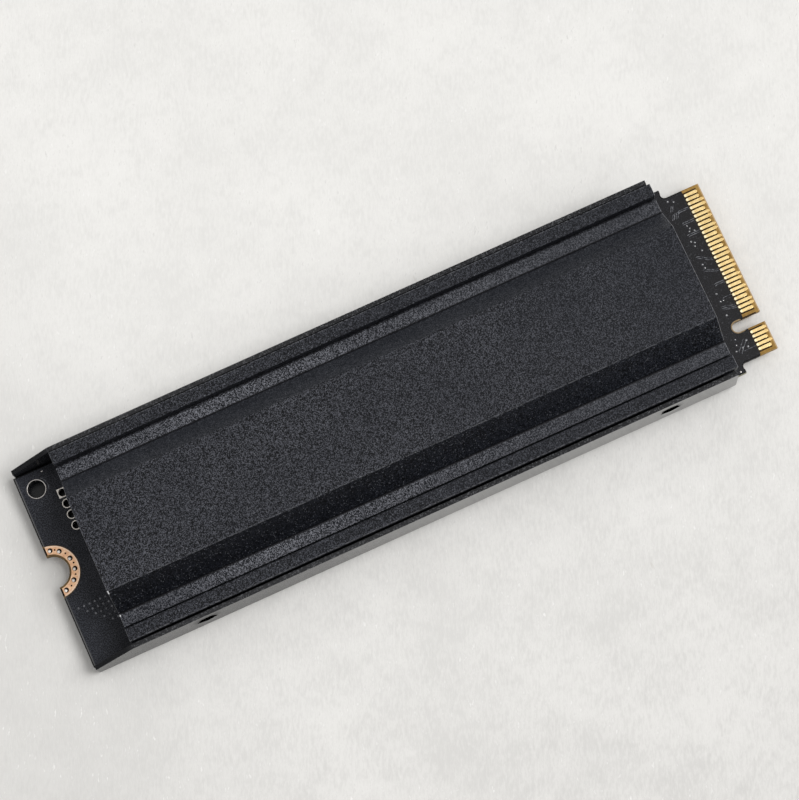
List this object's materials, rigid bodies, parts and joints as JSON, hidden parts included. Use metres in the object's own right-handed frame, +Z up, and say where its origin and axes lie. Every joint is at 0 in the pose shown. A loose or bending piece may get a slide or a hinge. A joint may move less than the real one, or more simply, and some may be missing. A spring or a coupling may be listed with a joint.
{
  "type": "gumstick solid state drive",
  "caption": "Gumstick solid state drive: an edge connector board held in a folded sheet tray under a profiled black heatsink.",
  "frame": {"origin": "middle of the tray's underside, halfway along the board", "axes": "+X along the board to its contact end, +Y to the side away from the key notch, +Z up through the heatsink"},
  "size_m": [0.08, 0.0232, 0.0093],
  "materials": {
    "anodised_heatsink": "fine blasted, black anodised",
    "coated_tray_sheet": "smooth satin black",
    "solder_masked_board": "black solder mask on glass laminate, gold plated contacts and copper land",
    "thermal_pad": "soft grey silicone",
    "package_mould": "matt moulding compound",
    "capacitor_ceramic": "satin tan with tinned ends",
    "resistor_ceramic": "black glaze with tinned ends",
    "inductor_ferrite": "matt grey",
    "crystal_lid": "plain metal lid"
  },
  "bodies": {
    "root": {"boot_flash": "package_mould", "bulk_capacitor_1": "capacitor_ceramic", "bulk_capacitor_2": "capacitor_ceramic", "bulk_capacitor_3": "capacitor_ceramic", "bulk_capacitor_4": "capacitor_ceramic", "bulk_capacitor_5": "capacitor_ceramic", "bulk_capacitor_6": "capacitor_ceramic", "clock_crystal": "crystal_lid", "controller": "package_mould", "filter_capacitor_1": "capacitor_ceramic", "filter_capacitor_2": "capacitor_ceramic", "filter_capacitor_3": "capacitor_ceramic", "filter_capacitor_4": "capacitor_ceramic", "filter_capacitor_5": "capacitor_ceramic", "filter_capacitor_6": "capacitor_ceramic", "filter_capacitor_7": "capacitor_ceramic", "filter_capacitor_8": "capacitor_ceramic", "heatsink": "anodised_heatsink", "inductor_1": "inductor_ferrite", "inductor_2": "inductor_ferrite", "inductor_3": "inductor_ferrite", "lane_capacitor_1": "capacitor_ceramic", "lane_capacitor_2": "capacitor_ceramic", "lane_capacitor_3": "capacitor_ceramic", "lane_capacitor_4": "capacitor_ceramic", "lane_capacitor_5": "capacitor_ceramic", "lane_capacitor_6": "capacitor_ceramic", "lane_capacitor_7": "capacitor_ceramic", "lane_capacitor_8": "capacitor_ceramic", "memory_package_1": "package_mould", "memory_package_2": "package_mould", "pcb": "solder_masked_board", "power_regulator": "package_mould", "resistor_1": "resistor_ceramic", "resistor_2": "resistor_ceramic", "resistor_3": "resistor_ceramic", "resistor_4": "resistor_ceramic", "resistor_5": "resistor_ceramic", "resistor_6": "resistor_ceramic", "thermal_pad_bottom": "thermal_pad", "thermal_pad_top": "thermal_pad", "tray": "coated_tray_sheet"}
  },
  "joints": []
}
